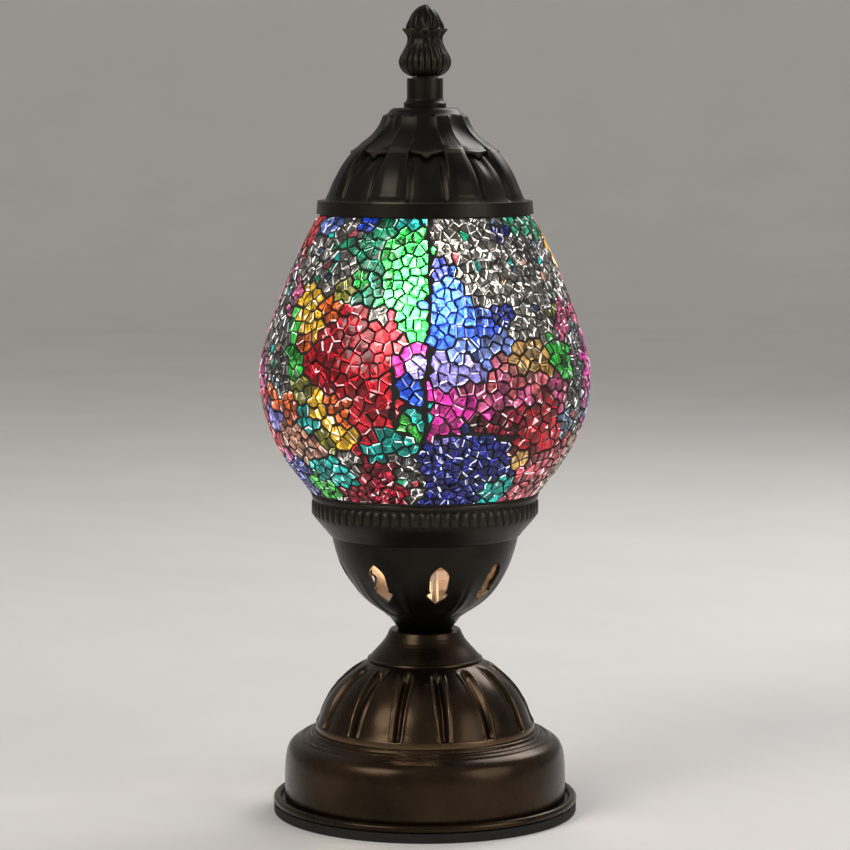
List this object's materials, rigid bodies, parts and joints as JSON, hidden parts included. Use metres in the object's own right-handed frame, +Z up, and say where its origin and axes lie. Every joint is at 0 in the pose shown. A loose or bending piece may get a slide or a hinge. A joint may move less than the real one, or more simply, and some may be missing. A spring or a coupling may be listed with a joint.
{
  "type": "mosaic glass table lamp",
  "caption": "Egg-shaped glass globe covered in coloured crackle mosaic, on a pierced bowl and a round gadrooned metal base, under a fluted cap with a leaf finial.",
  "frame": {"origin": "centre of the foot pad's underside, on the table", "axes": "+Z up along the lamp's axis, front vent towards -Y, cable inlet towards +Y"},
  "size_m": [0.12, 0.12, 0.2927],
  "materials": {
    "rubber_black": "matt black",
    "base_bronze": "dark antique bronze, satin",
    "ballast_iron": "rough casting",
    "zinc_steel": "zinc plated, satin",
    "holder_cream": "cream, smooth",
    "holder_ceramic": "unglazed",
    "contact_brass": "plain",
    "bulb_screw_metal": "rolled thread, bright",
    "bulb_clear_glass": "clear",
    "filament_glow": "warm light strips",
    "cap_bronze": "blackened bronze, satin",
    "globe_clear_glass": "clear, polished",
    "grout_black": "black grout, fine grain",
    "chip_glass": "crackle glass in many colours, bright edges"
  },
  "bodies": {
    "base": {"foot_pad": "rubber_black", "foot_tray": "base_bronze", "ballast_weight": "ballast_iron", "base_drum": "base_bronze", "inlet_grommet": "rubber_black", "base_dome": "base_bronze", "neck_flare": "base_bronze", "lamp_pipe": "zinc_steel", "bottom_nut": "zinc_steel", "bottom_washer": "zinc_steel", "pierced_bowl": "cap_bronze", "bowl_washer": "zinc_steel", "bowl_nut": "zinc_steel", "holder_locknut": "zinc_steel", "holder_cap": "holder_cream", "holder_shell": "holder_cream", "holder_core": "holder_ceramic", "holder_thread": "contact_brass", "holder_contact": "contact_brass", "terminal_screws": "contact_brass"},
    "bulb_carrier": {"bulb_contact": "zinc_steel"},
    "bulb": {"bulb_insulator": "rubber_black", "bulb_screw_cap": "bulb_screw_metal", "bulb_glass": "bulb_clear_glass", "bulb_stem": "bulb_clear_glass", "bulb_filaments": "filament_glow"},
    "shade": {"reeded_collar": "cap_bronze", "globe_seal": "rubber_black", "glass_globe": "globe_clear_glass", "grout_bed": "grout_black", "mosaic_chips": "chip_glass", "cap_seal": "rubber_black", "cap_rim": "cap_bronze", "fluted_cap": "cap_bronze", "cap_nut": "zinc_steel", "cap_washer": "zinc_steel", "finial_collar": "cap_bronze"},
    "finial_carrier": {"finial_washer": "cap_bronze"},
    "finial": {"finial_stud": "zinc_steel", "finial": "cap_bronze"}
  },
  "joints": [
    {"name": "shade_lift", "type": "slide", "parent": "base", "child": "shade", "axis": [0, 0, 1], "range_m": [0, 0.12]},
    {"name": "bulb_rise", "type": "slide", "parent": "base", "child": "bulb_carrier", "axis": [0, 0, 1], "range_m": [0, 0.0171]},
    {"name": "bulb_turn", "type": "hinge", "parent": "bulb_carrier", "child": "bulb", "pos_m": [0, 0, 0.13], "axis": [0, 0, 1], "range_deg": [0, 2160]},
    {"name": "finial_rise", "type": "slide", "parent": "shade", "child": "finial_carrier", "axis": [0, 0, 1], "range_m": [0, 0.007]},
    {"name": "finial_turn", "type": "hinge", "parent": "finial_carrier", "child": "finial", "pos_m": [0, 0, 0.27], "axis": [0, 0, 1], "range_deg": [0, 2160]}
  ],
  "couplings": [
    {"joint": "bulb_rise", "follows": "bulb_turn", "m_per_rad": 0.00044882},
    {"joint": "finial_rise", "follows": "finial_turn", "m_per_rad": 0.00015915}
  ]
}
